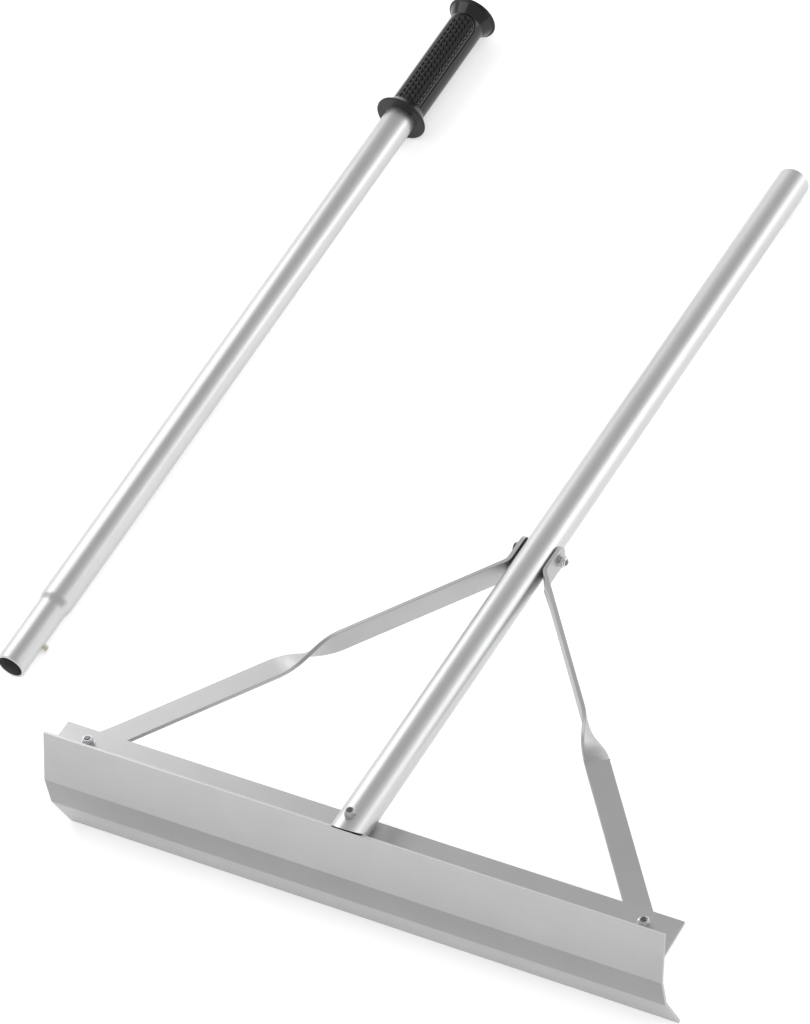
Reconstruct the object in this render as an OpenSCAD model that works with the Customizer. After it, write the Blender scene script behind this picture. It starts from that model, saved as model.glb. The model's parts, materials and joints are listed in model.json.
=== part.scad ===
// Levelling rake for concrete and screed, laid out in its two halves: a folded scraper head on
// a braced lower tube, and an upper handle that plugs into the tube's mouth with a snap button.
// The origin is the middle of the blade's ground edge, X runs along the blade, Y back along the
// tube and Z up. The head stands on its ground edge and on the far end of its tube.

/* [Blade] */
// Length of the blade
blade_len = 600; // [450:10:900]
// Thickness of the folded plate
plate_t = 3; // [2:0.5:4]
// Height of the upper flat of the plate
upper_h = 50; // [40:1:65]
// Height of the middle flat
middle_h = 32; // [24:1:45]
// Height of the lip
lip_h = 52; // [40:1:65]
// Angle of the fold between the upper and the middle flat
middle_fold = 19.5; // [14:0.5:24]
// Angle of the fold between the middle flat and the lip
lip_fold = 19; // [14:0.5:24]
// Drop from the plate's top edge to the top face of the rear flange
flange_drop = 22; // [20:0.5:26]
// Depth of the rear flange behind the plate
flange_w = 40; // [34:1:55]
// Thickness of the rear flange
flange_t = 3; // [2:0.5:5]
// Upward slope of the rear flange and of the tube, against a square to the plate
flange_rise = 13; // [8:0.5:16]
// Radius of the fillets at the root of the flange
root_r = 0.8; // [0.4:0.1:1]

/* [Lower tube] */
// Outer diameter of both tubes
tube_d = 32; // [29:0.5:35]
// Wall of both tubes
tube_wall = 2; // [1.5:0.25:2.5]
// Distance along the tube from the plate's front plane to its mouth
lower_reach = 936; // [700:2:1200]
// Depth of the sized socket in the mouth
socket_len = 86; // [84:1:120]
// How much wider than the bore the sized socket is, on the radius
socket_sizing = 0.3; // [0.2:0.05:0.5]
// Gap between the plate's back face and the foot of the tube
foot_gap = 1.05; // [1:0.05:2]
// Slope of the hood that the tube's foot makes over the plate's edge
hood_slope = 34; // [30:1:50]
// Gap between the hood and the plate's top edge
hood_gap = 0.5; // [0.3:0.1:1]

/* [Braces] */
// Width of the brace bars
brace_w = 22.5; // [16:0.5:26]
// Thickness of the brace bars
brace_t = 4; // [3:0.5:5]
// From the end of the blade to the foot bolt of a brace
brace_bolt_from_end = 30; // [24:1:60]
// From the plate's back face to the foot bolts of the braces, along the flange
brace_bolt_in = 23.5; // [21:0.5:27]
// From the centre of a hole to the end of the bar
brace_end = 11.5; // [10:0.5:15]
// Radius of the corners at the ends of the bars
brace_corner_r = 9; // [1:0.5:10]
// From the foot bolt to the start of the quarter twist
twist_start = 190; // [120:2:220]
// Length of the quarter twist
twist_len = 45; // [36:1:70]
// From the bend of the tab to the cross bolt
tab_reach = 26; // [22:1:40]
// Radius of the tab's bend at mid thickness
tab_bend_r = 12; // [8:1:18]
// Distance along the tube from the plate's front plane to the cross bolt
cross_bolt_at = 376; // [340:2:480]
// How far the cross bolt lies below the middle of the tube
cross_bolt_low = 2.5; // [0:0.5:5]

/* [Fasteners] */
// Diameter of the bolts
bolt_d = 6; // [5:0.5:8]
// Clearance of a bolt in its hole, on the diameter
hole_gap = 0.4; // [0.2:0.1:1]
// Width across the flats of the bolt heads and nuts
hex_w = 10; // [9.5:0.5:13]
// Height of the bolt heads
head_h = 4; // [3:0.5:5.5]
// Height of the hexagon of the locking nuts
nut_h = 4; // [3:0.5:6]
// Height of the locking collar on a nut
collar_h = 1.4; // [0.8:0.2:2.5]
// Diameter of the washers
washer_d = 12; // [11.5:0.5:14]
// Thickness of the washers
washer_t = 1.4; // [0.8:0.2:2]
// How far a bolt stands out of its nut
thread_out = 0.9; // [0.5:0.1:3]
// From the plate's back face to the bolt through the tube's foot, along the flange
tube_bolt_in = 13.5; // [13:0.5:18]

/* [Upper handle] */
// Where the shoulder of the handle lies, along the blade
handle_x = -428.8; // [-700:1:-420]
// Where the shoulder of the handle lies, behind the blade's ground edge
handle_y = 207.3; // [150:1:400]
// How far the handle is turned on the floor against the lower tube
handle_turn = 2.4; // [0:0.1:4]
// From the shoulder to the face of the grip's lower flange
shoulder_to_grip = 663; // [400:1:900]
// Length of the spigot, with its shoulder
spigot_len = 82; // [76:1:90]
// Length of the drawn-in shoulder
swage_len = 10; // [6:1:14]
// Radial gap between the spigot and the socket
spigot_gap = 0.1; // [0.05:0.01:0.1]
// Width of the broken edges at the ends of the handle tube
end_break = 0.4; // [0.2:0.1:0.8]

/* [Grip] */
// Length from the face of the lower flange to the face of the upper flange
grip_len = 150; // [110:1:200]
// Radius of the grip's body
grip_r = 18.2; // [17.8:0.1:22]
// Radius of the lower flange
grip_flange_r = 27; // [24:0.5:34]
// Radius of the upper flange
grip_top_r = 26; // [24:0.5:34]
// Thickness of the flanges at their rims
grip_rim_t = 3; // [2.4:0.2:5]
// Length of the flare between the body and a flange
grip_flare = 11; // [8:1:18]
// Thickness of the closed end over the tube
grip_cap_t = 4; // [3:0.5:8]
// Radial gap between the tube and the grip's bore
grip_gap = 0.05; // [0.02:0.01:0.1]
// From the face of the lower flange to the square end of a moulded panel
panel_from = 12; // [6:0.5:30]
// From the face of the lower flange to the top of a panel's arch
panel_to = 139; // [90:0.5:145]
// How far round the body a panel reaches
panel_sweep = 94; // [60:1:130]
// How far the middle of a panel is turned up from level
panel_turn = 74; // [0:1:90]
// Width of the groove round a panel
groove_w = 0.9; // [0.5:0.1:1.6]
// Depth of the groove round a panel
groove_deep = 0.6; // [0.3:0.1:1]

/* [Snap button] */
// Diameter of the button
button_d = 7; // [6:0.25:8]
// How far the button stands out of the spigot
button_out = 5; // [3:0.25:5.5]
// From the shoulder to the button
button_at = 46; // [40:1:52]
// How far below level the button points
button_turn = 33; // [0:1:40]
// Radial gap of the button in its hole
button_gap = 0.1; // [0.05:0.05:0.3]
// Width of the spring's strip
spring_w = 8; // [7:0.5:9]
// Thickness of the spring's strip
spring_t = 0.8; // [0.6:0.1:1.2]
// Length of the spring from the button to its bend
spring_len = 36; // [28:1:40]

/* [Hidden] */
$fn = 96;

// Cuts run this far past the faces that they open
past = 5;
// The twist is this much slimmer than the flat bars that it runs into
twist_inset = 0.02;
// Cores this long join the twist to the bars at its ends, inside all of them
seam_len = 2;
// Share of the bar's width and thickness that a core fills
seam_part = 0.8;
// Round pieces lie this far off the flat ones that they touch
seat_gap = 0.05;

tube_r = tube_d / 2;
bore_r = tube_r - tube_wall;
socket_r = bore_r + socket_sizing;
spigot_r = socket_r - spigot_gap;
spigot_bore_r = spigot_r - tube_wall;
hole_r = (bolt_d + hole_gap) / 2;

// Section of the plate: x is square to the upper flat towards the back, y is up along it
function down(a) = [sin(a), -cos(a)];
function back(a) = [cos(a), sin(a)];
function mitre(a, b) = (back(a) + back(b)) / (1 + back(a) * back(b));
lip_angle = middle_fold + lip_fold;
fold_1 = upper_h * down(0);
fold_2 = fold_1 + middle_h * down(middle_fold);
ground_edge = fold_2 + lip_h * down(lip_angle);

// The tube's axis starts where it meets the plate's front plane
axis_y = -flange_drop - plate_t * tan(flange_rise) + (tube_r + seat_gap) / cos(flange_rise);
// Distance along the tube of a point that lies w behind the plate's back face on the flange
function along(w) = w + plate_t / cos(flange_rise) - (tube_r + seat_gap) * tan(flange_rise);
flange_tip_at = along(flange_w);
tube_bolt_at = along(tube_bolt_in);
brace_bolt_at = along(brace_bolt_in);

// The head leans back until the far end of its tube touches the floor
tube_rest = [0, axis_y] + lower_reach * back(flange_rise) + tube_r * down(flange_rise);
lean = atan2(tube_rest[1] - ground_edge[1], tube_rest[0] - ground_edge[0]);

// Heights of the flange, measured from the tube's axis, and of the braces' feet, from the cross bolt
flange_top = -tube_r - seat_gap;
flange_low = flange_top - flange_t;
brace_low = flange_low - brace_t / 2 + cross_bolt_low;

// Plan of a brace: from its foot bolt straight to the bend of its tab, then along the tube
brace_bolt_x = blade_len / 2 - brace_bolt_from_end;
tab_x = tube_r + seat_gap + brace_t / 2;
tab_bend_at = cross_bolt_at - tab_reach;
brace_run = brace_bolt_x - tab_x;
brace_angle = atan2(brace_run, tab_bend_at - brace_bolt_at);
brace_plan = brace_run / sin(brace_angle);
bend_cut = tab_bend_r * tan(brace_angle / 2);
// The foot lies flat under the flange and rises from its back edge on
kink_at = (flange_tip_at + brace_w / 2 * sin(brace_angle) - brace_bolt_at) / cos(brace_angle);
rise_plan = brace_plan - bend_cut - kink_at;
brace_rise = atan2(-brace_low, rise_plan);
rise_len = rise_plan / cos(brace_rise);
flat_len = (twist_start - kink_at) / cos(brace_rise);

// The handle lies on the edge of its shoulder and on its lower flange
handle_rise = atan((grip_flange_r - tube_r) / (shoulder_to_grip + grip_rim_t / 2));
handle_z = tube_r * cos(handle_rise);

// The button's hole in the socket lines up when the shoulder seats in the mouth
seated_part = (tube_r - socket_r) / (tube_r - spigot_r);
button_hole_at = lower_reach - button_at + seated_part * swage_len;
button_r = button_d / 2;
// The button's collar stays clear of the spigot's bore
button_collar_r = button_r + 0.9;
button_collar_t = 1.2;
collar_top = sqrt(pow(spigot_bore_r - 0.3, 2) - pow(button_collar_r, 2));
collar_low = collar_top - button_collar_t;

module head_frame() {
    rotate([-lean, 0, 0])
        translate([0, -ground_edge[0], -ground_edge[1]])
            children();
}

// X across, Y along the lower tube, Z away from the flange
module tube_frame() {
    head_frame()
        translate([0, 0, axis_y])
            rotate([flange_rise, 0, 0])
                children();
}

// X across, Y from the shoulder to the grip
module handle_frame() {
    translate([handle_x, handle_y, handle_z])
        rotate([handle_rise, 0, -handle_turn])
            children();
}

// X out of the spigot along the button, Y towards the grip
module button_frame() {
    handle_frame()
        translate([0, -button_at, 0])
            rotate([0, button_turn, 0])
                children();
}

// Turns a piece that is drawn along Z to lie along Y
module along_y() {
    rotate([-90, 0, 0])
        children();
}

// Turns a piece that is drawn along Z to lie along X
module along_x() {
    rotate([0, 90, 0])
        children();
}

// Extrudes a section drawn in the plane across the blade, over a length centred on the origin
module across(len) {
    translate([-len / 2, 0, 0])
        rotate([90, 0, 90])
            linear_extrude(len)
                children();
}

// Points of the fillet in a corner p whose edges leave it at the angles a and b, from a to b
fillet_steps = 6;
function fillet(p, a, b, r) =
    let (
        centre = p + r / sin((b - a) / 2) * back((a + b) / 2),
        sweep = 180 - (b - a)
    )
    [for (i = [0 : fillet_steps]) centre + r * back(a - 90 - sweep * i / fillet_steps)];

module blade_section() {
    over_root = [plate_t, -flange_drop];
    under_root = over_root - [0, flange_t / cos(flange_rise)];
    tip = over_root + flange_w * back(flange_rise);
    polygon(concat(
        [
            [0, 0], fold_1, fold_2, ground_edge,
            ground_edge + plate_t * back(lip_angle),
            fold_2 + plate_t * mitre(middle_fold, lip_angle),
            fold_1 + plate_t * mitre(0, middle_fold)
        ],
        fillet(under_root, -90, flange_rise, root_r),
        [tip + flange_t * down(flange_rise), tip],
        fillet(over_root, flange_rise, 90, root_r),
        [[plate_t, 0]]
    ));
}

module blade_head() {
    color("lightgray")
        difference() {
            head_frame()
                across(blade_len)
                    blade_section();
            tube_frame()
                flange_holes();
        }
}

module flange_holes() {
    bolt_hole([0, tube_bolt_at]);
    for (side = [-1, 1])
        bolt_hole([side * brace_bolt_x, brace_bolt_at]);
}

module bolt_hole(place) {
    translate([place[0], place[1], flange_low - past])
        cylinder(r = hole_r, h = flange_t + 2 * past);
}

// What is cut from the tube's foot: behind the plate, then forward and up over its edge
module foot_cut_section() {
    reach = 3 * tube_d;
    start = [plate_t + foot_gap, (hood_gap - foot_gap * sin(hood_slope)) / cos(hood_slope)];
    polygon([
        [start[0], -reach], start,
        start + reach * [-cos(hood_slope), sin(hood_slope)],
        [-reach, -reach]
    ]);
}

module lower_tube() {
    color("silver")
        difference() {
            tube_frame()
                translate([0, -tube_r, 0])
                    along_y()
                        cylinder(r = tube_r, h = lower_reach + tube_r);
            tube_frame()
                lower_tube_cuts();
            head_frame()
                across(2 * tube_d)
                    foot_cut_section();
        }
}

module lower_tube_cuts() {
    translate([0, -tube_r - past, 0])
        along_y()
            cylinder(r = bore_r, h = lower_reach + tube_r + 2 * past);
    translate([0, lower_reach - socket_len, 0])
        along_y()
            cylinder(r = socket_r, h = socket_len + past);
    translate([0, tube_bolt_at, -tube_r - past])
        cylinder(r = hole_r, h = tube_d + 2 * past);
    translate([-tube_r - past, cross_bolt_at, -cross_bolt_low])
        along_x()
            cylinder(r = hole_r, h = tube_d + 2 * past);
    translate([0, button_hole_at, -tube_r - past])
        cylinder(r = button_r + button_gap, h = tube_r + past);
}

// End of a bar with its hole on the origin, reaching brace_end beyond it and len behind it
module bar_end(len) {
    side = brace_w / 2 - brace_corner_r;
    difference() {
        union() {
            translate([-len, -brace_w / 2])
                square([len + brace_end - brace_corner_r, brace_w]);
            translate([-len, -side])
                square([len + brace_end, 2 * side]);
            for (y = [-side, side])
                translate([brace_end - brace_corner_r, y])
                    circle(brace_corner_r);
        }
        circle(hole_r);
    }
}

// Brace in its own plan: X from the foot bolt to the tab, Y towards the tube, Z as on the tube
module brace_in_plan() {
    intersection() {
        upright(brace_w)
            flat_section();
        translate([0, 0, brace_low - brace_w])
            linear_extrude(3 * brace_w)
                rotate(180)
                    bar_end(brace_plan);
    }
    translate([kink_at, 0, brace_low])
        rotate([0, -brace_rise, 0])
            twist_and_edge();
    tab_and_bend();
}

// Extrudes a section drawn in X and Z over a width that is centred on the XZ plane
module upright(width) {
    translate([0, width / 2, 0])
        rotate([90, 0, 0])
            linear_extrude(width)
                children();
}

// Side view of the flat stretch: level under the flange, a mitred kink, then rising
module flat_section() {
    half = brace_t / 2;
    kink = [kink_at, brace_low];
    end = kink + flat_len * back(brace_rise);
    lift = half * [-tan(brace_rise / 2), 1];
    square_off = half * [-sin(brace_rise), cos(brace_rise)];
    far = -brace_end - past;
    polygon([
        [far, brace_low - half], kink - lift, end - square_off,
        end + square_off, kink + lift, [far, brace_low + half]
    ]);
}

// Quarter twist and the bar on edge, drawn along X from the kink
module twist_and_edge() {
    on_edge_at = flat_len + twist_len;
    // The bar on edge ends in an upright face, where the level bend takes over
    end_half = brace_w / 2 * [sin(brace_rise), cos(brace_rise)];
    translate([flat_len, 0, 0])
        along_x()
            linear_extrude(twist_len, twist = -90, slices = 24, segments = 1)
                square([brace_t - twist_inset, brace_w - twist_inset], center = true);
    translate([flat_len, 0, 0])
        cube([seam_len, seam_part * brace_w, seam_part * brace_t], center = true);
    translate([on_edge_at, 0, 0])
        cube([seam_len, seam_part * brace_t, seam_part * brace_w], center = true);
    upright(brace_t)
        polygon([
            [on_edge_at, -brace_w / 2], [rise_len, 0] - end_half,
            [rise_len, 0] + end_half, [on_edge_at, brace_w / 2]
        ]);
}

// Bend on edge that turns the bar parallel to the tube, and the tab with its hole
module tab_and_bend() {
    bend_start = brace_plan - bend_cut;
    // Core of the seam between the rising bar and the bend, inside both
    translate([bend_start, 0, 0])
        cube([2 * seam_len, seam_part * brace_t, seam_part * brace_w], center = true);
    translate([bend_start, -tab_bend_r, 0])
        rotate([0, 0, 90 - brace_angle])
            rotate_extrude(angle = brace_angle)
                translate([tab_bend_r, 0])
                    square([brace_t, brace_w], center = true);
    translate([brace_plan, 0, 0])
        rotate([0, 0, -brace_angle])
            translate([tab_reach, brace_t / 2, 0])
                rotate([90, 0, 0])
                    linear_extrude(brace_t)
                        bar_end(tab_reach - bend_cut);
}

module right_brace() {
    color("darkgray")
        tube_frame()
            translate([brace_bolt_x, brace_bolt_at, -cross_bolt_low])
                rotate([0, 0, 90 + brace_angle])
                    brace_in_plan();
}

module left_brace() {
    mirror([1, 0, 0])
        right_brace();
}

// Hexagon with both rims turned down
module hexagon(h) {
    corner_r = hex_w / 2 / cos(30);
    flat_r = hex_w / 2 * 0.96;
    turned = (corner_r - flat_r) * tan(30);
    intersection() {
        cylinder(r = corner_r, h = h, $fn = 6);
        rotate_extrude()
            polygon([
                [0, 0], [flat_r, 0], [corner_r, turned],
                [corner_r, h - turned], [flat_r, h], [0, h]
            ]);
    }
}

// Bolt with the seat of its head on the origin and its shank up along Z
module bolt(grip_length) {
    shank = grip_length + nut_h + collar_h + thread_out;
    tip = 0.8;
    color("gainsboro") {
        translate([0, 0, -head_h])
            hexagon(head_h);
        translate([0, 0, -head_h / 2])
            cylinder(d = bolt_d, h = shank + head_h / 2 - tip);
        translate([0, 0, shank - tip])
            cylinder(d1 = bolt_d, d2 = bolt_d - 2 * tip, h = tip);
    }
}

// Locking nut that seats on the origin
module lock_nut() {
    bore = bolt_d / 2 + seat_gap;
    collar_r = hex_w / 2 * 0.88;
    color("gainsboro")
        difference() {
            union() {
                hexagon(nut_h);
                rotate_extrude()
                    polygon([
                        [0, nut_h / 2], [collar_r, nut_h / 2], [collar_r, nut_h + collar_h * 0.6],
                        [collar_r - collar_h * 0.6, nut_h + collar_h], [0, nut_h + collar_h]
                    ]);
            }
            translate([0, 0, -past])
                cylinder(r = bore, h = nut_h + collar_h + 2 * past);
        }
}

module washer() {
    color("gainsboro")
        difference() {
            cylinder(d = washer_d, h = washer_t);
            translate([0, 0, -past])
                cylinder(r = hole_r, h = washer_t + 2 * past);
        }
}

module at_tube_bolt(h) {
    tube_frame()
        translate([0, tube_bolt_at, h])
            children();
}

module at_brace_bolt(side, h) {
    tube_frame()
        translate([side * brace_bolt_x, brace_bolt_at, h])
            children();
}

// Along the cross bolt, from its head on the left to its nut on the right
module at_cross_bolt(x) {
    tube_frame()
        translate([x, cross_bolt_at, -cross_bolt_low])
            along_x()
                children();
}

tube_stack = washer_t + flange_t + tube_d + 2 * seat_gap;
brace_stack = 2 * washer_t + brace_t + flange_t;
cross_face = tab_x + brace_t / 2;
cross_stack = 2 * (cross_face + washer_t);

module tube_bolt() {
    at_tube_bolt(flange_low - washer_t)
        bolt(tube_stack);
}

module tube_bolt_washer() {
    at_tube_bolt(flange_low - washer_t)
        washer();
}

module tube_bolt_nut() {
    at_tube_bolt(tube_r + seat_gap)
        lock_nut();
}

module brace_bolt(side) {
    at_brace_bolt(side, flange_low - brace_t - washer_t)
        bolt(brace_stack);
}

module brace_washers(side) {
    at_brace_bolt(side, flange_low - brace_t - washer_t)
        washer();
    at_brace_bolt(side, flange_top)
        washer();
}

module brace_nut(side) {
    at_brace_bolt(side, flange_top + washer_t)
        lock_nut();
}

module left_brace_bolt() {
    brace_bolt(-1);
}

module left_brace_washers() {
    brace_washers(-1);
}

module left_brace_nut() {
    brace_nut(-1);
}

module right_brace_bolt() {
    brace_bolt(1);
}

module right_brace_washers() {
    brace_washers(1);
}

module right_brace_nut() {
    brace_nut(1);
}

module cross_bolt() {
    at_cross_bolt(-cross_face - washer_t)
        bolt(cross_stack);
}

module cross_bolt_washers() {
    at_cross_bolt(-cross_face - washer_t)
        washer();
    at_cross_bolt(cross_face)
        washer();
}

module cross_bolt_nut() {
    at_cross_bolt(cross_face + washer_t)
        lock_nut();
}

// Smooth step from the full radius at the shoulder down to the spigot's radius
swage_steps = 10;
function swage(wide, narrow) = [
    for (i = [0 : swage_steps])
        [
            (wide + narrow) / 2 + (wide - narrow) / 2 * cos(180 * i / swage_steps),
            -swage_len * i / swage_steps
        ]
];

// Outline from the axis out, over the full tube and down to the spigot's open end
module tube_outline(wide, narrow, top, low, edge) {
    polygon(concat(
        [[0, top], [wide - edge, top], [wide, top - edge]],
        swage(wide, narrow),
        [[narrow, low + edge], [narrow - edge, low], [0, low]]
    ));
}

module upper_tube() {
    top = shoulder_to_grip + grip_len + grip_rim_t;
    color("silver")
        difference() {
            handle_frame()
                along_y()
                    rotate_extrude()
                        tube_outline(tube_r, spigot_r, top, -spigot_len, end_break);
            handle_frame()
                along_y()
                    rotate_extrude()
                        tube_outline(bore_r, spigot_bore_r, top + past, -spigot_len - past, past / 2);
            button_frame()
                along_x()
                    cylinder(r = button_r + button_gap, h = spigot_r + past);
        }
}

// Points along a quarter of an ellipse that flares from the body out to a flange
flare_steps = 12;
function flare(out_r, out_y, in_y) = [
    for (i = [0 : flare_steps])
        [
            out_r - (out_r - grip_r) * sin(90 * i / flare_steps),
            in_y + (out_y - in_y) * (1 - cos(90 * (1 - i / flare_steps)))
        ]
];
function reversed(list) = [for (i = [len(list) - 1 : -1 : 0]) list[i]];
function rounded_rim(r, y, from, to) = [
    for (i = [0 : 6])
        [r, y] + grip_rim_t / 2 * back(from + (to - from) * i / 6)
];

module grip_outline() {
    rim_r = grip_flange_r - grip_rim_t / 2;
    top_r = grip_top_r - grip_rim_t / 2;
    top_y = grip_len + grip_rim_t / 2;
    cap_y = grip_len + grip_rim_t + grip_cap_t;
    polygon(concat(
        [[0, 0]],
        rounded_rim(rim_r, grip_rim_t / 2, -90, 90),
        flare(rim_r - 0.5, grip_rim_t, grip_rim_t + grip_flare),
        reversed(flare(top_r - 0.5, grip_len, grip_len - grip_flare)),
        rounded_rim(top_r, top_y, -90, 90),
        [[tube_r, cap_y - 0.6], [tube_r - 4, cap_y], [0, cap_y]]
    ));
}

// Flat view of a panel: square at the lower end and arched at the upper end
module panel_outline(inset) {
    half = grip_r * sin(panel_sweep / 2);
    arch_at = panel_to - half;
    translate([inset - half, panel_from + inset])
        square([2 * (half - inset), arch_at - panel_from - inset]);
    translate([0, arch_at])
        circle(half - inset);
}

// Groove round one panel, pressed into the grip's body
module panel_groove() {
    rotate([0, -panel_turn, 0])
        along_x()
            linear_extrude(grip_flange_r)
                difference() {
                    panel_outline(0);
                    panel_outline(groove_w);
                }
}

// Skin of the grip's body that the grooves may cut
module groove_skin() {
    along_y()
        difference() {
            cylinder(r = grip_flange_r, h = grip_len);
            translate([0, 0, -past])
                cylinder(r = grip_r - groove_deep, h = grip_len + 2 * past);
        }
}

module grip() {
    color("dimgray")
        handle_frame()
            translate([0, shoulder_to_grip, 0])
                difference() {
                    along_y()
                        rotate_extrude()
                            grip_outline();
                    translate([0, -past, 0])
                        along_y()
                            cylinder(r = tube_r + grip_gap, h = grip_len + grip_rim_t + past);
                    intersection() {
                        union() {
                            panel_groove();
                            rotate([0, 180, 0])
                                panel_groove();
                        }
                        groove_skin();
                    }
                }
}

// A strip of the spring along a line from p to q, with round ends
module strip(p, q) {
    run = q - p;
    translate(p)
        rotate(atan2(run[1], run[0]))
            translate([0, -spring_t / 2])
                square([norm(run), spring_t]);
    translate(p)
        circle(d = spring_t);
    translate(q)
        circle(d = spring_t);
}

// Side view of the spring: X out along the button, Y towards the grip
module spring_section() {
    pad_x = collar_low - spring_t / 2;
    pad_half = button_collar_r;
    low_x = -sqrt(pow(spigot_bore_r - 0.3, 2) - pow(spring_w / 2, 2)) + spring_t / 2;
    turn_r = 2.6;
    turn_x = low_x + turn_r;
    strip([pad_x, -pad_half], [pad_x, pad_half]);
    strip([pad_x, pad_half], [turn_x + turn_r, spring_len]);
    strip([low_x, spring_len], [low_x, -pad_half]);
    intersection() {
        translate([turn_x, spring_len])
            difference() {
                circle(turn_r + spring_t / 2);
                circle(turn_r - spring_t / 2);
            }
        translate([turn_x - 2 * turn_r, spring_len])
            square([4 * turn_r, 2 * turn_r]);
    }
}

module button_spring() {
    color("lightslategray")
        button_frame()
            translate([0, 0, -spring_w / 2])
                linear_extrude(spring_w)
                    spring_section();
}

module snap_button() {
    tip = spigot_r + button_out;
    round_r = button_r * 0.35;
    color("wheat")
        button_frame()
            along_x()
                rotate_extrude()
                    union() {
                        polygon([
                            [0, collar_low], [button_collar_r, collar_low],
                            [button_collar_r, collar_top], [button_r, collar_top],
                            [button_r, tip - round_r], [button_r - round_r, tip - round_r],
                            [button_r - round_r, tip], [0, tip]
                        ]);
                        intersection() {
                            translate([button_r - round_r, tip - round_r])
                                circle(round_r);
                            translate([button_r - round_r, tip - round_r])
                                square(round_r);
                        }
                    }
}

blade_head();
lower_tube();
left_brace();
right_brace();
tube_bolt();
tube_bolt_washer();
tube_bolt_nut();
left_brace_bolt();
left_brace_washers();
left_brace_nut();
right_brace_bolt();
right_brace_washers();
right_brace_nut();
cross_bolt();
cross_bolt_washers();
cross_bolt_nut();
upper_tube();
grip();
button_spring();
snap_button();
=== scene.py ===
"""Looks of the levelling rake: finishes, brace twists, moulded grip, stage, light and camera."""

import json
import math

import bmesh
import bpy
import numpy as np
from mathutils import Matrix, Vector


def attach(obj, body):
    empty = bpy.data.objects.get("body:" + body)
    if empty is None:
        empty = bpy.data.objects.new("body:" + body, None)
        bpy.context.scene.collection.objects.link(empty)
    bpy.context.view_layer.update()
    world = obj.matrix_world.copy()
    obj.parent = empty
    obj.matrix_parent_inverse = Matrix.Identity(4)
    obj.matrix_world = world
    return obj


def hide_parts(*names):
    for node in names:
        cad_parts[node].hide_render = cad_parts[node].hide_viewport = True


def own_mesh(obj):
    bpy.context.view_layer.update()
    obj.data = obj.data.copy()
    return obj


bl_info = {
    "name": "Levelling rake looks",
    "version": (1, 0, 0),
    "blender": (4, 5, 0),
    "location": "View3D > Sidebar > Levelling rake",
    "description": "Dresses the levelling rake with its finishes, moulded grip and studio stage",
    "category": "Object",
}

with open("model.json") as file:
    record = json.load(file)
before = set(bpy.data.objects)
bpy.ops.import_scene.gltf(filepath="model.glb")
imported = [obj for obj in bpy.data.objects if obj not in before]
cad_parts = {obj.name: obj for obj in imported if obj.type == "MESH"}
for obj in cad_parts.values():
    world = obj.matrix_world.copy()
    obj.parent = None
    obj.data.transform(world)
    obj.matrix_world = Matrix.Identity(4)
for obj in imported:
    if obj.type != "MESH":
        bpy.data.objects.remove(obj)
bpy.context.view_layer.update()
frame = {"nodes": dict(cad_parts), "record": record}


def mount(name):
    """Place and outward direction of a mount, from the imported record."""
    found = next(m for m in frame["record"]["mounts"] if m["name"] == name)
    return Vector(found["pos_m"]), Vector(found["axis"]).normalized()


SPIGOT_END, SPIGOT_OUT = mount("handle_spigot")
SOCKET_MID, TUBE_AXIS = mount("handle_socket")


class RakeBlade(bpy.types.PropertyGroup):
    """Finish of the blade and of the brace bars"""

    color: bpy.props.FloatVectorProperty(
        name="Aluminium", description="Reflection colour of the blade's plate",
        subtype="COLOR", size=3, min=0, max=1, default=(0.57, 0.57, 0.575))
    bar_color: bpy.props.FloatVectorProperty(
        name="Bar aluminium", description="Reflection colour of the brace bars",
        subtype="COLOR", size=3, min=0, max=1, default=(0.57, 0.57, 0.575))
    roughness: bpy.props.FloatProperty(
        name="Roughness", description="How blurred the plate's reflections are",
        subtype="FACTOR", min=0, max=1, default=0.42)
    edge: bpy.props.FloatProperty(
        name="Broken edge", description="Width of the broken edges of the plate",
        subtype="DISTANCE", unit="LENGTH", min=0.0001, max=0.001, default=0.0005)
    bar_edge: bpy.props.FloatProperty(
        name="Bar edge", description="Radius of the rounded edges of the brace bars",
        subtype="DISTANCE", unit="LENGTH", min=0.0001, max=0.0018, default=0.0008)


class RakeTubes(bpy.types.PropertyGroup):
    """Finish of the two tubes"""

    color: bpy.props.FloatVectorProperty(
        name="Drawn aluminium", description="Reflection colour of the tubes",
        subtype="COLOR", size=3, min=0, max=1, default=(0.7, 0.7, 0.705))
    roughness: bpy.props.FloatProperty(
        name="Roughness", description="How blurred the tubes' reflections are",
        subtype="FACTOR", min=0, max=1, default=0.36)


class RakeFasteners(bpy.types.PropertyGroup):
    """Finish of the bolts, nuts and washers"""

    color: bpy.props.FloatVectorProperty(
        name="Zinc", description="Reflection colour of the zinc plating",
        subtype="COLOR", size=3, min=0, max=1, default=(0.75, 0.755, 0.77))
    bolt_color: bpy.props.FloatVectorProperty(
        name="Bolt zinc", description="Reflection colour of the duller bolts",
        subtype="COLOR", size=3, min=0, max=1, default=(0.2, 0.2, 0.21))
    edge: bpy.props.FloatProperty(
        name="Broken edge", description="Width of the broken edges of heads, nuts and washers",
        subtype="DISTANCE", unit="LENGTH", min=0.00005, max=0.0005, default=0.0002)


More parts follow.
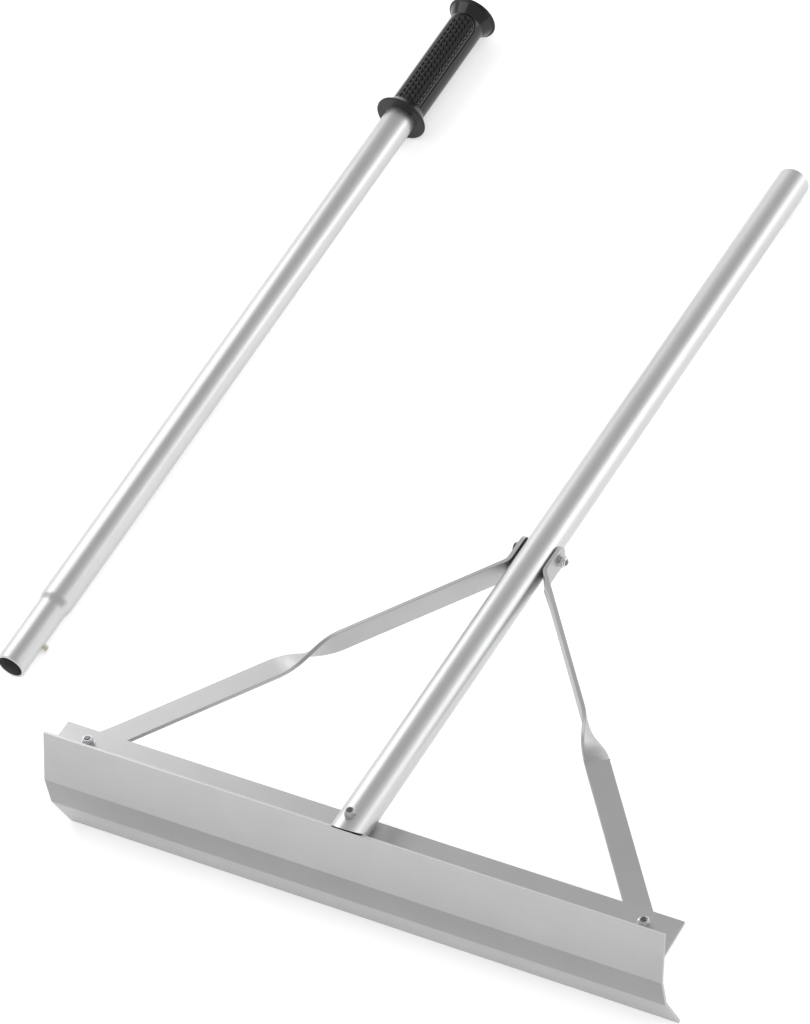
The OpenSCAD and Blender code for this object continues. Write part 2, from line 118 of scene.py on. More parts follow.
class RakeGrip(bpy.types.PropertyGroup):
    """Sizes and finish of the moulded grip"""

    color: bpy.props.FloatVectorProperty(
        name="Rubber", description="Colour of the grip's rubber",
        subtype="COLOR", size=3, min=0, max=1, default=(0.005, 0.005, 0.0055))
    from_end: bpy.props.FloatProperty(
        name="From the spigot's end",
        description="From the spigot's open end to the lower flange's face",
        subtype="DISTANCE", unit="LENGTH", min=0.1, max=2, default=0.745)
    length: bpy.props.FloatProperty(
        name="Length", description="From the lower flange's face to the upper flange's face",
        subtype="DISTANCE", unit="LENGTH", min=0.05, max=0.4, default=0.15)
    radius: bpy.props.FloatProperty(
        name="Body radius", description="Radius of the grip between its flanges",
        subtype="DISTANCE", unit="LENGTH", min=0.01, max=0.04, default=0.0182)
    pip_pitch: bpy.props.FloatProperty(
        name="Pip pitch", description="Distance between pips along a row",
        subtype="DISTANCE", unit="LENGTH", min=0.002, max=0.02, default=0.0065)
    pip_height: bpy.props.FloatProperty(
        name="Pip height", description="How far a pip stands out of the panel",
        subtype="DISTANCE", unit="LENGTH", min=0.0001, max=0.002, default=0.001)


class RakeStage(bpy.types.PropertyGroup):
    """Floor, light and camera"""

    floor_color: bpy.props.FloatVectorProperty(
        name="Floor", description="Colour of the studio floor",
        subtype="COLOR", size=3, min=0, max=1, default=(0.9, 0.9, 0.9))
    floor_size: bpy.props.FloatProperty(
        name="Floor size", description="Width of the studio floor",
        subtype="DISTANCE", unit="LENGTH", min=2, max=40, default=24)
    lens: bpy.props.FloatProperty(
        name="Lens", description="Focal length of the camera on a 36 mm sensor",
        subtype="DISTANCE_CAMERA", unit="CAMERA", min=20, max=400, default=168.73)


# Node helpers

# Part of a noise, or of a mask, that is spread over a range
SPREAD_FROM = 0.3
SPREAD_TO = 0.7
# Metal: scale and depth of its clouds, height of its grain, and what the grain adds to the roughness
CLOUD_SCALE = 18
CLOUD_DEPTH = 0.05
GRAIN_HEIGHT = 0.000003
GRAIN_ROUGHNESS = 0.03
# Least and greatest roughness of the zinc and of the rubber, and the rubber's shine
ZINC_ROUGHNESS = (0.1, 0.2)
RUBBER_ROUGHNESS = (0.13, 0.2)
RUBBER_SHINE = 0.52


def new_material(name):
    """Empty node material with its shader and output joined."""
    made = bpy.data.materials.new(name)
    made.use_nodes = True
    nodes = made.node_tree.nodes
    nodes.clear()
    shader = nodes.new("ShaderNodeBsdfPrincipled")
    output = nodes.new("ShaderNodeOutputMaterial")
    made.node_tree.links.new(shader.outputs["BSDF"], output.inputs["Surface"])
    return made, shader


def node(tree, kind, inputs=(), **settings):
    """New node with its settings, and its inputs given as values or as sockets to join."""
    made = tree.nodes.new(kind)
    for name, value in settings.items():
        setattr(made, name, value)
    for key, value in dict(inputs).items():
        if isinstance(value, bpy.types.NodeSocket):
            tree.links.new(value, made.inputs[key])
        else:
            made.inputs[key].default_value = value
    return made


def grain_along(tree, axis, scale, stretch):
    """Noise drawn out along an axis.

    Object coordinates are turned so that the axis is X, and then squeezed in X.
    """
    turn = Vector((1, 0, 0)).rotation_difference(Vector(axis)).to_euler()
    place = node(tree, "ShaderNodeTexCoord").outputs["Object"]
    turned = node(tree, "ShaderNodeMapping", {"Vector": place, "Rotation": turn}, vector_type="TEXTURE")
    squeezed = node(tree, "ShaderNodeMapping", {
        "Vector": turned.outputs["Vector"], "Scale": (1 / stretch, 1, 1)})
    return node(tree, "ShaderNodeTexNoise", {
        "Vector": squeezed.outputs["Vector"], "Scale": scale, "Detail": 6,
        "Roughness": 0.6}).outputs["Fac"]


def spots(tree, scale, detail=4):
    """Even noise on object coordinates."""
    place = node(tree, "ShaderNodeTexCoord").outputs["Object"]
    return node(tree, "ShaderNodeTexNoise", {
        "Vector": place, "Scale": scale, "Detail": detail}).outputs["Fac"]


def ranged(tree, value, low, high, start=SPREAD_FROM, end=SPREAD_TO, passage="LINEAR"):
    """Passage from low to high while the value goes from start to end."""
    return node(tree, "ShaderNodeMapRange", {
        "Value": value, "From Min": start, "From Max": end, "To Min": low, "To Max": high},
        interpolation_type=passage).outputs["Result"]


def eased_range(tree, value, start, end, low, high):
    """Smooth passage from low to high while the value goes from start to end."""
    return ranged(tree, value, low, high, start, end, "SMOOTHSTEP")


def joined(tree, operation, *values):
    """Result of a math node on values or sockets."""
    return node(tree, "ShaderNodeMath", dict(enumerate(values)), operation=operation).outputs["Value"]


def scaled_color(tree, color, factor):
    """The colour times a factor that comes from a socket."""
    made = node(tree, "ShaderNodeVectorMath", {0: tuple(color), "Scale": factor}, operation="SCALE")
    return made.outputs["Vector"]


def tinted(tree, value, color, depth):
    """The colour, made up to depth darker where the value is low."""
    return scaled_color(tree, color, ranged(tree, value, 1 - depth, 1))


def raise_normal(tree, shader, height, distance, strength):
    """Bumps the shader's surface by a height."""
    raised = node(tree, "ShaderNodeBump", {
        "Height": height, "Distance": distance, "Strength": strength})
    tree.links.new(raised.outputs["Normal"], shader.inputs["Normal"])


def metal(name, color, roughness, axis, grain=1400, stretch=40):
    """Satin metal: grain along an axis moves roughness and height, and soft clouds shade the colour."""
    made, shader = new_material(name)
    tree = made.node_tree
    lines = grain_along(tree, axis, grain, stretch)
    shader.inputs["Metallic"].default_value = 1.0
    clouds = spots(tree, CLOUD_SCALE)
    tree.links.new(tinted(tree, clouds, color, CLOUD_DEPTH), shader.inputs["Base Color"])
    tree.links.new(ranged(tree, lines, roughness - GRAIN_ROUGHNESS, roughness + GRAIN_ROUGHNESS),
                   shader.inputs["Roughness"])
    raise_normal(tree, shader, lines, distance=GRAIN_HEIGHT, strength=0.6)
    return made


def zinc_material(name, color):
    """Bright zinc plating: smooth metal with faint clouded passivation."""
    made, shader = new_material(name)
    tree = made.node_tree
    shader.inputs["Metallic"].default_value = 1.0
    tree.links.new(tinted(tree, spots(tree, scale=420), color, depth=0.12), shader.inputs["Base Color"])
    tree.links.new(ranged(tree, spots(tree, scale=900), *ZINC_ROUGHNESS), shader.inputs["Roughness"])
    return made


def rubber_material(color):
    """Satin moulded rubber: fine mould grain, clouded roughness, and painted shade in the grooves and
    crescents, where the shine is taken away.
    """
    made, shader = new_material("grip_rubber")
    tree = made.node_tree
    painted_shade = node(tree, "ShaderNodeAttribute", attribute_name="painted_shade").outputs["Fac"]
    # Painted shade: the shine goes to nothing in the grooves and crescents
    tree.links.new(ranged(tree, painted_shade, RUBBER_SHINE, 0.0), shader.inputs["Specular IOR Level"])
    tree.links.new(tinted(tree, spots(tree, scale=60), color, depth=0.25), shader.inputs["Base Color"])
    tree.links.new(ranged(tree, spots(tree, scale=300), *RUBBER_ROUGHNESS), shader.inputs["Roughness"])
    raise_normal(tree, shader, spots(tree, scale=2600, detail=2), distance=0.00004, strength=0.5)
    return made


# Mesh helpers

# Points closer than this are merged, faces that turn by less than this are joined, and a cut
# keeps points that lie this close to it
MERGE_DISTANCE = 0.00003
FLAT_TURN = math.radians(0.4)
CUT_DISTANCE = 0.00001


def body_of(name):
    """Body that carries a CAD node."""
    bodies = frame["record"]["behaviour"]["bodies"]
    return next(body for body, nodes in bodies.items() if name in nodes)


def slot_of(name):
    """Material slot that a CAD node has in the record."""
    return next(s["material_slot"] for s in frame["record"]["subparts"] if s["node"] == name)


def dressed(name, material):
    """Gives a CAD node its finish and leaves its mesh as it is."""
    finish = frame["nodes"][name].data.materials
    finish.clear()
    finish.append(material)


def softened(name, material, width, crease=30, segments=3, cuts=(), shaped=None):
    """Merged copy of a CAD node with its creases rounded off, in the node's place.

    Edges that turn by more than the crease angle, in degrees, get a rounded strip, and the faces
    beside it stay flat. Cuts are planes, each a place and a direction, that split the copy's faces
    first, and a function, where one is given, then moves its points.
    """
    mesh = bpy.data.meshes.new(name + "_finished")
    shell = bmesh.new()
    shell.from_mesh(frame["nodes"][name].data)
    bmesh.ops.remove_doubles(shell, verts=shell.verts, dist=MERGE_DISTANCE)
    bmesh.ops.dissolve_limit(shell, angle_limit=FLAT_TURN, verts=shell.verts, edges=shell.edges)
    for place, direction in cuts:
        everything = [*shell.verts, *shell.edges, *shell.faces]
        bmesh.ops.bisect_plane(
            shell, geom=everything, dist=CUT_DISTANCE, plane_co=place, plane_no=direction)
    shell.to_mesh(mesh)
    shell.free()
    if "custom_normal" in mesh.attributes:
        mesh.attributes.remove(mesh.attributes["custom_normal"])
    if shaped:
        points = np.empty(3 * len(mesh.vertices), dtype=np.float32)
        mesh.vertices.foreach_get("co", points)
        mesh.vertices.foreach_set("co", shaped(points.reshape(-1, 3)).reshape(-1).astype(np.float32))
    mesh.shade_smooth()
    mesh.set_sharp_from_angle(angle=math.radians(crease))
    mesh.materials.clear()
    mesh.materials.append(material)
    piece = bpy.data.objects.new(name + "_finished", mesh)
    bpy.context.scene.collection.objects.link(piece)
    bevel = piece.modifiers.new("broken edges", "BEVEL")
    bevel.width = width
    bevel.segments = segments
    bevel.limit_method = "ANGLE"
    bevel.angle_limit = math.radians(crease)
    bevel.use_clamp_overlap = True
    bevel.harden_normals = True
    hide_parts(name)
    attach(piece, body_of(name))
    return piece


def grid_piece(name, points, painted_shade, material, replaced):
    """Mesh of a grid of points in a CAD node's place, rows by columns by 3, closed along its rows.

    A value for each point, from 0 to 1, says how deep it lies between its neighbours, and is kept as a
    point attribute that paints shade there.
    """
    rows, columns = points.shape[:2]
    index = np.arange(rows * columns).reshape(rows, columns)
    after = np.roll(index, -1, axis=1)
    faces = np.stack([index[:-1], after[:-1], after[1:], index[1:]], axis=-1).reshape(-1, 4)
    mesh = bpy.data.meshes.new(name)
    mesh.vertices.add(rows * columns)
    mesh.vertices.foreach_set("co", points.reshape(-1).astype(np.float32))
    mesh.loops.add(faces.size)
    mesh.loops.foreach_set("vertex_index", faces.reshape(-1).astype(np.int32))
    mesh.polygons.add(len(faces))
    mesh.polygons.foreach_set("loop_start", np.arange(0, faces.size, 4, dtype=np.int32))
    mesh.update(calc_edges=True)
    mesh.validate()
    mesh.shade_smooth()
    depth = mesh.attributes.new("painted_shade", "FLOAT", "POINT")
    depth.data.foreach_set("value", painted_shade.reshape(-1).astype(np.float32))
    mesh.materials.append(material)
    piece = bpy.data.objects.new(name, mesh)
    bpy.context.scene.collection.objects.link(piece)
    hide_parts(replaced)
    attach(piece, body_of(replaced))


def handle_axes():
    """Unit vectors of the handle: along it to the grip, level to the side, and up from it."""
    along = np.array(-SPIGOT_OUT)
    side = np.cross(along, (0, 0, 1))
    side /= np.linalg.norm(side)
    return along, side, np.cross(side, along)


def smooth(x):
    """Smooth step of a value from 0 to 1."""
    x = np.clip(x, 0, 1)
    return x * x * (3 - 2 * x)


# Braces

# Places in the tube's frame: across, along the tube from the plate's front, and up
SOCKET_MID_AT = 0.893
FOOT_BOLT = (0.27, 0.02287, -0.02105)
TAB_BEND = (0.01805, 0.35, -0.02105)
# Along the bar: from the foot bolt to the kink, its rise from there, and from the kink to the twist
KINK_AT = 0.02949
BAR_RISE = math.radians(2.8)
TWIST_FROM = 0.1607
TWIST_LENGTH = 0.045
# How far the eased twist reaches into the flat stretches, and the cuts that it needs there
TWIST_SPREAD = 0.012
TWIST_STEPS = 9
# Direction of a bar seen from above, across and back
BAR_ACROSS = 0.61
BAR_BACK = 0.79


def in_tube_frame(place, side):
    """World place of a point in the tube's frame, on the left or the right."""
    out = Vector((1, 0, 0))
    up = out.cross(TUBE_AXIS)
    return SOCKET_MID + side * place[0] * out + (place[1] - SOCKET_MID_AT) * TUBE_AXIS + place[2] * up


def twist_line(side):
    """Start of a brace's quarter twist and the direction of its bar, in the world."""
    foot, bend = in_tube_frame(FOOT_BOLT, side), in_tube_frame(TAB_BEND, side)
    level = (bend - foot).normalized()
    up = Vector((1, 0, 0)).cross(TUBE_AXIS)
    run = math.cos(BAR_RISE) * level + math.sin(BAR_RISE) * up
    return foot + KINK_AT * level + TWIST_FROM * run, run


def twist_cuts(side):
    """Planes square to the bar where its flat stretches take part in the eased twist."""
    start, run = twist_line(side)
    steps = np.linspace(0, TWIST_SPREAD, TWIST_STEPS).tolist()
    return [(start + at * run, run) for step in steps for at in (-step, TWIST_LENGTH + step)]


def eased_twist(side):
    """Function that eases a brace's even quarter twist, so that it starts and ends softly.

    The even turn of 90 degrees times u, with u from 0 to 1 along the twist, becomes 90 degrees times
    3 v^2 - 2 v^3, with v from 0 to 1 along the twist and a stretch before and after it. Each point is
    turned about the bar's axis by the difference.
    """
    start, run = (np.array(part) for part in twist_line(side))

    def shaped(points):
        off = points - start
        at = off @ run
        even = np.clip(at / TWIST_LENGTH, 0, 1)
        eased = smooth((at + TWIST_SPREAD) / (TWIST_LENGTH + 2 * TWIST_SPREAD))
        more = side * math.pi / 2 * (eased - even)
        cos, sin = np.cos(more)[:, None], np.sin(more)[:, None]
        foot_point = at[:, None] * run
        arm = off - foot_point
        return start + foot_point + cos * arm + sin * np.cross(run, arm)

    return shaped


# Grip

# Radii of the lower and the upper flange, their thickness, the reach of their flares, and how
# far the closed end bulges
GRIP_FLANGE = 0.027
GRIP_TOP = 0.026
GRIP_RIM = 0.003
GRIP_FLARE = 0.011
GRIP_CAP = 0.004
# The lower face: its bore, and the radii of its rings up to the rim
GRIP_BORE = 0.0161
FACE_RINGS = (0.020, 0.0245)
# How far inside the rim's middle a flare and the closed end start, and the radius that is left
# at the closed end's middle
FLARE_INSET = 0.0005
CAP_INSET = 0.0006
CAP_MIDDLE = 0.00002
# Rows of points over a rim, a flare, the body and the closed end
RIM_ROWS = 13
FLARE_ROWS = 22
BODY_ROWS = 290
CAP_ROWS = 14
# Points this near to the body's radius take its relief
BODY_BAND = 0.0006
# Panels: their middle and half width round the axis, a margin beside them, and their ends
PANEL_MIDDLE = math.radians(74)
PANEL_HALF = math.radians(47)
PANEL_MARGIN = math.radians(4)
PANEL_START = 0.012
PANEL_END = 0.139
# Columns of points over a panel, and between two panels
PANEL_COLUMNS = 104
SIDE_COLUMNS = 24
GROOVE_HALF = 0.00055
GROOVE_DEPTH = 0.0007
# Grooves and crescents are flat over their middle by as much as this is over 1
HOLLOW_FLAT = 1.3
# Pips: distance between rows, half sizes of a pip, the share of it that is its flank, and their
# distance from the groove with the stretch over which they rise
PIP_ROW_GAP = 0.00466
PIP_REACH = (0.0017, 0.0021)
PIP_FLANK = 0.55
PIP_MARGIN = 0.002
PIP_FADE = 0.0006
# Crescents, shallow cuts on one side of each pip that also carry painted shade: depth, direction,
# place and half width in sizes of a pip, and cosines from the direction over which they run out
PIP_CUT_DEPTH = 0.0005
PIP_CUT_TURN = math.radians(20)
PIP_CUT_AT = 1.15
PIP_CUT_WIDTH = 0.4
PIP_CUT_END = 0.1
PIP_CUT_FADE = 0.4


def grip_profile(look):
    """Outline of the grip as distance along it and radius, from its lower face to its closed end.

    The rims are half circles and the flares quarter ellipses that run out into the body. The
    closed end rises with sin x while its radius shrinks with (cos x)^0.6.
    """
    body, length = look.radius, look.length
    half = GRIP_RIM / 2
    turn = np.linspace(0, math.pi, RIM_ROWS)
    quarter = np.linspace(0, math.pi / 2, FLARE_ROWS)

    def rim(radius, start):
        return np.stack([start + half - half * np.cos(turn), radius - half + half * np.sin(turn)], 1)

    def flare(radius, start, reach):
        out = radius - half - FLARE_INSET
        return np.stack([
            start + reach * np.cos(quarter[::-1]), out - (out - body) * np.sin(quarter)], 1)

    face = np.array([[0.0, ring] for ring in (GRIP_BORE, *FACE_RINGS)])
    low = flare(GRIP_FLANGE, GRIP_RIM, GRIP_FLARE)
    top = flare(GRIP_TOP, length, -GRIP_FLARE)[::-1]
    middle = np.linspace(low[-1, 0], top[0, 0], BODY_ROWS)[1:-1]
    body_line = np.stack([middle, np.full_like(middle, body)], 1)
    cap_turn = np.linspace(0, 1, CAP_ROWS) * math.pi / 2
    cap = np.stack([
        length + GRIP_RIM + GRIP_CAP * np.sin(cap_turn),
        (GRIP_TOP - half - CAP_INSET) * np.cos(cap_turn) ** 0.6], 1)
    cap[-1, 1] = CAP_MIDDLE
    return np.concatenate([face, rim(GRIP_FLANGE, 0), low, body_line, top, rim(GRIP_TOP, length), cap])


def panel_frame(along, angle, middle, radius):
    """Distance into a panel from its outline, and distance across it from its middle.

    The outline is square at the lower end and a round arch at the upper end.
    """
    across = (np.mod(angle - middle + math.pi, 2 * math.pi) - math.pi) * radius
    half = PANEL_HALF * radius
    side = half - np.abs(across)
    arch = half - np.hypot(across, np.maximum(along - (PANEL_END - half), 0))
    return np.minimum(np.minimum(side, along - PANEL_START), arch), across


def pips(across, along, pitch):
    """Height of the round pips and depth of the crescent cut beside each, both from 0 to 1.

    The pips stand in rows, every second row moved by half a pitch. With u and v the distances
    across and along from a pip's middle, r = hypot(u / PIP_REACH[0], v / PIP_REACH[1]). The
    height is a smooth step of (1 - r) / PIP_FLANK. The crescent is a smooth step of
    HOLLOW_FLAT - |r - PIP_CUT_AT| / PIP_CUT_WIDTH, kept on the side that PIP_CUT_TURN points to.
    """
    row = np.floor(across / PIP_ROW_GAP)
    u = across - (row + 0.5) * PIP_ROW_GAP
    shifted = along / pitch + 0.5 * np.mod(row, 2)
    v = (shifted - np.floor(shifted) - 0.5) * pitch
    reach = np.hypot(u / PIP_REACH[0], v / PIP_REACH[1])
    toward = (v * math.sin(PIP_CUT_TURN) - u * math.cos(PIP_CUT_TURN)) / (np.hypot(u, v) + 1e-6)
    ring = smooth(HOLLOW_FLAT - np.abs(reach - PIP_CUT_AT) / PIP_CUT_WIDTH)
    return smooth((1 - reach) / PIP_FLANK), ring * smooth((toward - PIP_CUT_END) / PIP_CUT_FADE)


def grip_angles():
    """Angles round the grip: close together over both panels, and wide apart between them."""
    reach = PANEL_HALF + PANEL_MARGIN
    turns = []
    for middle in (PANEL_MIDDLE, PANEL_MIDDLE + math.pi):
        first, last, next_first = middle - reach, middle + reach, middle + math.pi - reach
        turns.append(np.linspace(first, last, PANEL_COLUMNS, endpoint=False))
        turns.append(np.linspace(last, next_first, SIDE_COLUMNS, endpoint=False))
    return np.concatenate(turns)


def grip_surface(look):
    """Points of the grip, and the painted shade of each, from 0 to 1, after how deep it lies in a
    groove or a crescent.

    The grip is a revolved profile, along it and round the axis. Grooves, pips and crescents are
    added to the radius, on the body only.
    """
    profile = grip_profile(look)
    angle = grip_angles()
    along, phi = np.meshgrid(profile[:, 0], angle, indexing="ij")
    radius = np.repeat(profile[:, 1:], len(angle), axis=1)
    on_body = (np.abs(radius - look.radius) < BODY_BAND) & (along < look.length)
    relief, painted_shade = np.zeros_like(radius), np.zeros_like(radius)
    for middle in (PANEL_MIDDLE, PANEL_MIDDLE + math.pi):
        inside, across = panel_frame(along, phi, middle, look.radius)
        groove = smooth(HOLLOW_FLAT - np.abs(inside) / GROOVE_HALF)
        field = smooth((inside - PIP_MARGIN) / PIP_FADE)
        height, cut = pips(across, along, look.pip_pitch)
        relief += field * (look.pip_height * height - PIP_CUT_DEPTH * cut) - GROOVE_DEPTH * groove
        # Painted shade over the grooves and the crescents
        painted_shade = np.maximum(painted_shade, np.maximum(groove, field * cut))
    radius = radius + np.where(on_body, relief, 0)
    direction, side, up = handle_axes()
    start = np.array(SPIGOT_END) + look.from_end * direction
    points = (start + along[..., None] * direction
              + radius[..., None] * (np.cos(phi)[..., None] * side + np.sin(phi)[..., None] * up))
    return points, np.where(on_body, painted_shade, 0)


# Operators

# Just under the 19 degrees of the blade's flattest fold, so that this fold is rounded too
BLADE_CREASE = 18.5


class RAKE_OT_blade(bpy.types.Operator):
    """Dress the blade head with satin aluminium and broken edges"""

    bl_idname = "rake.blade"
    bl_label = "Blade"

    def execute(self, context):
        look = context.scene.rake_blade
        plate = metal("plate_aluminium", look.color, look.roughness, (1, 0, 0))
        softened("blade_head", plate, look.edge, crease=BLADE_CREASE)
        return {"FINISHED"}


class RAKE_OT_braces(bpy.types.Operator):
    """Dress the two brace bars"""

    bl_idname = "rake.braces"
    bl_label = "Braces"

    def execute(self, context):
        look = context.scene.rake_blade
        for name, side in (("left_brace", -1), ("right_brace", 1)):
            bar = metal(name + "_aluminium", look.bar_color, look.roughness,
                        (-side * BAR_ACROSS, BAR_BACK, 0))
            softened(name, bar, look.bar_edge, segments=4,
                     cuts=twist_cuts(side), shaped=eased_twist(side))
        return {"FINISHED"}


class RAKE_OT_tubes(bpy.types.Operator):
    """Dress the lower and the upper tube with drawn aluminium"""

    bl_idname = "rake.tubes"
    bl_label = "Tubes"

    def execute(self, context):
        look = context.scene.rake_tubes
        for name, axis in (("lower_tube", TUBE_AXIS), ("upper_tube", SPIGOT_OUT)):
            dressed(name, metal(name + "_aluminium", look.color, look.roughness, axis))
        return {"FINISHED"}


class RAKE_OT_fasteners(bpy.types.Operator):
    """Dress the bolts, nuts and washers with bright zinc"""

    bl_idname = "rake.fasteners"
    bl_label = "Fasteners"

    def execute(self, context):
        look = context.scene.rake_fasteners
        zinc = zinc_material("bright_zinc", look.color)
        dull_zinc = zinc_material("dull_zinc", look.bolt_color)
        for name in frame["nodes"]:
            if slot_of(name) == "zinc_steel":
                softened(name, dull_zinc if name.endswith("bolt") else zinc, look.edge)
        return {"FINISHED"}


class RAKE_OT_grip(bpy.types.Operator):
    """Mould the grip with its flanges, panels, grooves and pips"""

    bl_idname = "rake.grip"
    bl_label = "Grip"

    def execute(self, context):
        look = context.scene.rake_grip
        points, painted_shade = grip_surface(look)
        grid_piece("grip_moulding", points, painted_shade, rubber_material(look.color), "grip")
        return {"FINISHED"}


# Snap button and its spring: the broken edges of both
BUTTON_EDGE = 0.0002
SPRING_EDGE = 0.0001


class RAKE_OT_button(bpy.types.Operator):
    """Dress the snap button and its spring, and give the spring a mesh of its own"""

    bl_idname = "rake.button"
    bl_label = "Snap button"

    def execute(self, context):
        nickel = metal("button_nickel", color=(0.8, 0.77, 0.68), roughness=0.24,
                       axis=SPIGOT_OUT, grain=900, stretch=3)
        strip = metal("spring_strip", color=(0.3, 0.31, 0.35), roughness=0.34,
                      axis=SPIGOT_OUT, grain=500, stretch=20)
        softened("snap_button", nickel, BUTTON_EDGE)
        spring = softened("button_spring", strip, SPRING_EDGE)
        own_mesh(spring)
        return {"FINISHED"}


# Stage

CAMERA_PLACE = Vector((1.54615, -1.97206, 3.36403))
CAMERA_RIGHT = Vector((0.88494, 0.44552, -0.13560))
CAMERA_UP = Vector((-0.26197, 0.71696, 0.64604))
SENSOR_WIDTH = 36
CAMERA_REACH = 60
# Brightness all round, and the soft boxes in it: direction, half angle in degrees, strength
SURROUND = 0.5
SOFT_BOXES = (
    ((0.8, 0.58, 0.12), 46, 0.32),
    ((-0.8, 0.58, -0.05), 36, 0.35),
    ((-0.37, 0.92, 0.14), 26, 0.9),
    ((-0.4, -0.9, 0.1), 40, 0.3),
)
# Share of a soft box's half angle that has its full strength
SOFT_BOX_CORE = 0.45
# Lamps: name, place, target, size, power in watts, and whether metal mirrors it
LAMPS = (
    ("key_lamp", (1.6, -0.6, 3.2), (0, 0.4, 0), 3.2, 62, False),
    ("fill_lamp", (-2.6, -1.6, 2.4), (-0.1, 0.4, 0), 2.2, 18, False),
    ("left_lamp", (-1.12, 0.8, 0.72), (-0.3, 0.1, 0.05), 0.9, 3.3, True),
    ("right_lamp", (1.6, 1.9, 0.35), (-0.1, 0.5, 0.05), 1.2, 5.7, True),
)
# Floor, in metres behind the blade's edge: where the strip of painted shade begins and ends, and where
# the painted glow in front and the painted glow behind change, all seen in reflections only
STRIP_BEGINS = (-0.3, -0.14)
STRIP_ENDS = (-0.06, -0.03)
FRONT_GLOW_ENDS = (-0.6, -0.12)
BACK_GLOW_BEGINS = (-0.05, -0.02)
# How much darker the strip's painted shade is, how bright both painted glows are, and the glow that the
# camera sees
STRIP_SHADE = 0.3
FRONT_GLOW = 0.45
BACK_GLOW = 0.2
FLOOR_LIFT = 0.34
# The painted front glow from left to right: places, and factors there
GLOW_ACROSS = (-0.5, 0.5)
GLOW_FACTORS = (1.2, 0.8)


def light_box(tree, direction, angle, strength):
    """Glow of a soft box in the surroundings: strongest in its direction, with soft edges."""
    way = node(tree, "ShaderNodeTexCoord").outputs["Generated"]
    facing = node(tree, "ShaderNodeVectorMath", {
        0: way, 1: tuple(Vector(direction).normalized())}, operation="DOT_PRODUCT").outputs["Value"]
    outer = math.cos(math.radians(angle))
    inner = math.cos(math.radians(angle * SOFT_BOX_CORE))
    return eased_range(tree, facing, outer, inner, 0, strength)


def studio_world():
    """Surroundings: even light with soft boxes in it, which the camera itself sees as plain white."""
    world = bpy.data.worlds.new("studio")
    world.use_nodes = True
    tree = world.node_tree
    tree.nodes.clear()
    total = SURROUND
    for direction, angle, strength in SOFT_BOXES:
        total = joined(tree, "ADD", total, light_box(tree, direction, angle, strength))
    seen = node(tree, "ShaderNodeLightPath").outputs["Is Camera Ray"]
    level = node(tree, "ShaderNodeMix", {"Factor": seen, "A": total, "B": 1.0}, data_type="FLOAT")
    back = node(tree, "ShaderNodeBackground", {
        "Color": (1, 1, 1, 1), "Strength": level.outputs["Result"]})
    node(tree, "ShaderNodeOutputWorld", {"Surface": back.outputs["Background"]})
    bpy.context.scene.world = world


def floor_material(color):
    """Pale matt floor that shows white to the camera where nothing shades it.

    Metal sees a painted glow far in front of the blade that dies away towards it, painted shade
    in a strip close to the blade, and a faint painted glow under the lip and behind it.
    """
    made, shader = new_material("studio_floor")
    tree = made.node_tree
    shader.inputs["Roughness"].default_value = 0.9
    shader.inputs["Specular IOR Level"].default_value = 0.0
    shader.inputs["Emission Color"].default_value = (1, 1, 1, 1)
    rays = node(tree, "ShaderNodeLightPath")
    place = node(tree, "ShaderNodeSeparateXYZ", {
        "Vector": node(tree, "ShaderNodeTexCoord").outputs["Object"]})
    across, depth = place.outputs["X"], place.outputs["Y"]
    # Painted shade: the floor's colour is darker in this strip for glossy rays only
    strip = joined(tree, "MULTIPLY", eased_range(tree, depth, *STRIP_BEGINS, 0, 1),
                   eased_range(tree, depth, *STRIP_ENDS, 1, 0))
    shade = joined(tree, "MULTIPLY", strip, rays.outputs["Is Glossy Ray"])
    kept = joined(tree, "MULTIPLY_ADD", shade, -STRIP_SHADE, 1.0)
    tree.links.new(scaled_color(tree, color, kept), shader.inputs["Base Color"])
    # Painted glow that only glossy rays see, stronger to the left
    front = joined(tree, "MULTIPLY", eased_range(tree, depth, *FRONT_GLOW_ENDS, FRONT_GLOW, 0),
                   eased_range(tree, across, *GLOW_ACROSS, *GLOW_FACTORS))
    glow = joined(tree, "ADD", front, eased_range(tree, depth, *BACK_GLOW_BEGINS, 0, BACK_GLOW))
    lift = joined(tree, "MULTIPLY", rays.outputs["Is Camera Ray"], FLOOR_LIFT)
    level = joined(tree, "MULTIPLY_ADD", rays.outputs["Is Glossy Ray"], glow, lift)
    tree.links.new(level, shader.inputs["Emission Strength"])
    return made


def area_lamp(name, place, target, size, power, mirrored):
    """Square soft box aimed at a target. One that isn't mirrored lights matt surfaces only."""
    lamp = bpy.data.lights.new(name, "AREA")
    lamp.size = size
    lamp.energy = power
    lamp.shape = "SQUARE"
    holder = bpy.data.objects.new(name, lamp)
    holder.location = place
    holder.visible_camera = False
    holder.visible_glossy = mirrored
    holder.rotation_euler = (Vector(target) - Vector(place)).to_track_quat("-Z", "Y").to_euler()
    bpy.context.scene.collection.objects.link(holder)


def studio_camera(lens):
    """Camera with the place, turn and lens that were fitted to the photograph."""
    data = bpy.data.cameras.new("camera")
    data.lens = lens
    data.sensor_width = SENSOR_WIDTH
    data.clip_end = CAMERA_REACH
    camera = bpy.data.objects.new("camera", data)
    turn = Matrix((CAMERA_RIGHT, CAMERA_UP, CAMERA_RIGHT.cross(CAMERA_UP))).transposed()
    camera.matrix_world = Matrix.Translation(CAMERA_PLACE) @ turn.to_4x4()
    bpy.context.scene.collection.objects.link(camera)
    bpy.context.scene.camera = camera


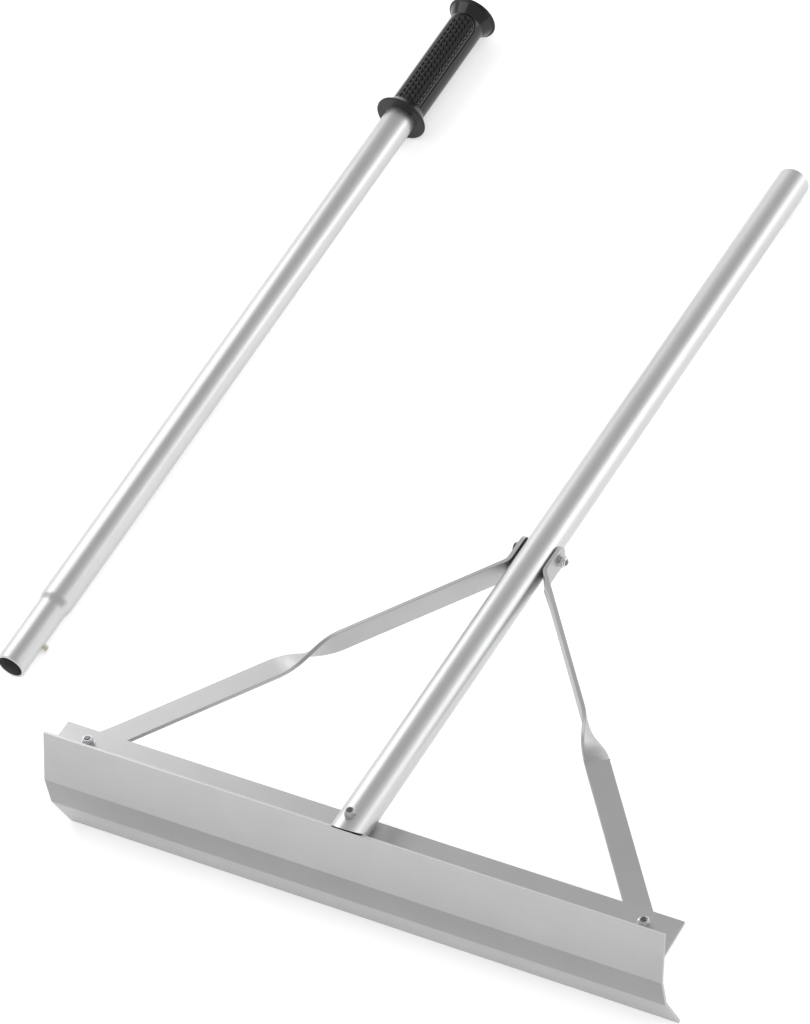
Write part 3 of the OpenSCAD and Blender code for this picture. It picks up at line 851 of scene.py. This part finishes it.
class RAKE_OT_stage(bpy.types.Operator):
    """Set the floor, the studio light and the camera"""

    bl_idname = "rake.stage"
    bl_label = "Stage"

    def execute(self, context):
        look = context.scene.rake_stage
        half = look.floor_size / 2
        mesh = bpy.data.meshes.new("studio_floor")
        corners = [(-half, -half, 0), (half, -half, 0), (half, half, 0), (-half, half, 0)]
        mesh.from_pydata(corners, [], [(0, 1, 2, 3)])
        mesh.materials.append(floor_material(look.floor_color))
        floor = bpy.data.objects.new("studio_floor", mesh)
        context.scene.collection.objects.link(floor)
        studio_world()
        for lamp in LAMPS:
            area_lamp(*lamp)
        context.scene.view_settings.view_transform = "Standard"
        studio_camera(look.lens)
        return {"FINISHED"}


class RAKE_PT_panel(bpy.types.Panel):
    """Sidebar panel with the sizes, colours and steps"""

    bl_label = "Levelling rake"
    bl_idname = "RAKE_PT_panel"
    bl_space_type = "VIEW_3D"
    bl_region_type = "UI"
    bl_category = "Levelling rake"

    def draw(self, context):
        for group, operators in STEPS.items():
            box = self.layout.box()
            look = getattr(context.scene, group)
            for prop in type(look).bl_rna.properties:
                if prop.identifier not in ("rna_type", "name"):
                    box.prop(look, prop.identifier)
            for operator in operators:
                box.operator(operator.bl_idname)


GROUPS = {
    "rake_blade": RakeBlade,
    "rake_tubes": RakeTubes,
    "rake_fasteners": RakeFasteners,
    "rake_grip": RakeGrip,
    "rake_stage": RakeStage,
}
STEPS = {
    "rake_blade": [RAKE_OT_blade, RAKE_OT_braces],
    "rake_tubes": [RAKE_OT_tubes, RAKE_OT_button],
    "rake_fasteners": [RAKE_OT_fasteners],
    "rake_grip": [RAKE_OT_grip],
    "rake_stage": [RAKE_OT_stage],
}
OPERATORS = [operator for operators in STEPS.values() for operator in operators]


def register():
    """Registers the groups, operators and panel, and hangs the groups on the scene."""
    for cls in (*GROUPS.values(), *OPERATORS, RAKE_PT_panel):
        bpy.utils.register_class(cls)
    for name, group in GROUPS.items():
        setattr(bpy.types.Scene, name, bpy.props.PointerProperty(type=group))


def unregister():
    """Takes the groups off the scene and unregisters every class."""
    for name in GROUPS:
        delattr(bpy.types.Scene, name)
    for cls in reversed((*GROUPS.values(), *OPERATORS, RAKE_PT_panel)):
        bpy.utils.unregister_class(cls)


def main():
    """Builds the dressed rake step by step."""
    register()
    for operator in OPERATORS:
        group, name = operator.bl_idname.split(".")
        getattr(getattr(bpy.ops, group), name)()


if __name__ == "__main__":
    main()
